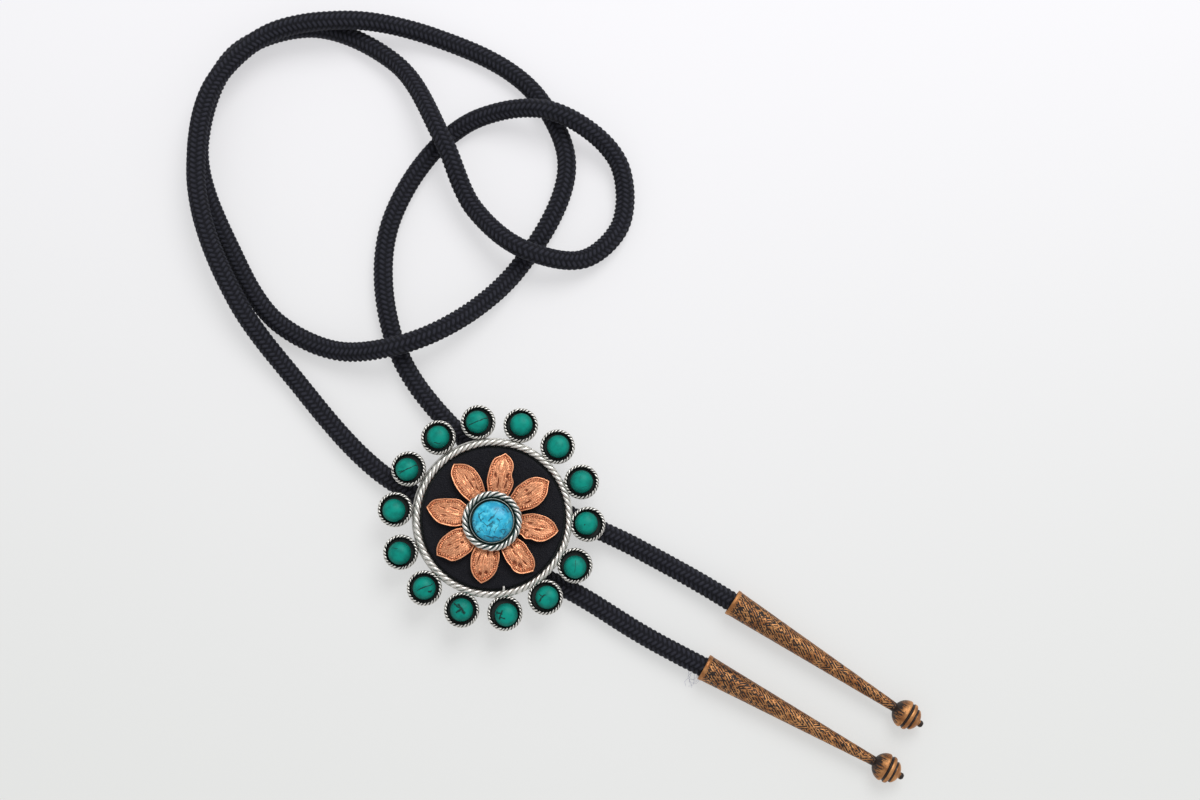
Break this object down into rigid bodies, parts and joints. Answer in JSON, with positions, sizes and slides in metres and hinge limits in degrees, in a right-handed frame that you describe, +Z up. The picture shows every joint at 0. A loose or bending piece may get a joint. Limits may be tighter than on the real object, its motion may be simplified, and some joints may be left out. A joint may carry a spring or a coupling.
{
  "type": "bolo tie",
  "caption": "Braided black cord through a round slide set with turquoise stones and a copper flower, with cone tips on both ends.",
  "frame": {"origin": "on the surface that the tie lies on, under the middle of the slide, on the clasp's flat foot", "axes": "+Z up out of the slide's face, +Y along the two strands from the tips towards the neck loop, +X across the strands"},
  "size_m": [0.1236, 0.2441, 0.0157],
  "materials": {
    "braided_cord": "black braided cord",
    "clasp_silver": "plain nickel silver",
    "setting_silver": "antiqued silver",
    "black_leather": "matte black leather",
    "rose_copper": "bright stamped copper",
    "bezel_silver": "antiqued silver",
    "blue_turquoise": "polished blue turquoise",
    "green_turquoise": "matte green turquoise",
    "antique_copper": "antiqued copper with dark relief"
  },
  "bodies": {
    "root": {"cord": "braided_cord", "clasp": "clasp_silver", "setting": "setting_silver", "leather_inlay": "black_leather", "flower": "rose_copper", "centre_bezel": "bezel_silver", "centre_stone": "blue_turquoise", "stone_01": "green_turquoise", "stone_02": "green_turquoise", "stone_03": "green_turquoise", "stone_04": "green_turquoise", "stone_05": "green_turquoise", "stone_06": "green_turquoise", "stone_07": "green_turquoise", "stone_08": "green_turquoise", "stone_09": "green_turquoise", "stone_10": "green_turquoise", "stone_11": "green_turquoise", "stone_12": "green_turquoise", "stone_13": "green_turquoise", "stone_14": "green_turquoise", "tip_left": "antique_copper", "tip_right": "antique_copper"}
  },
  "joints": []
}
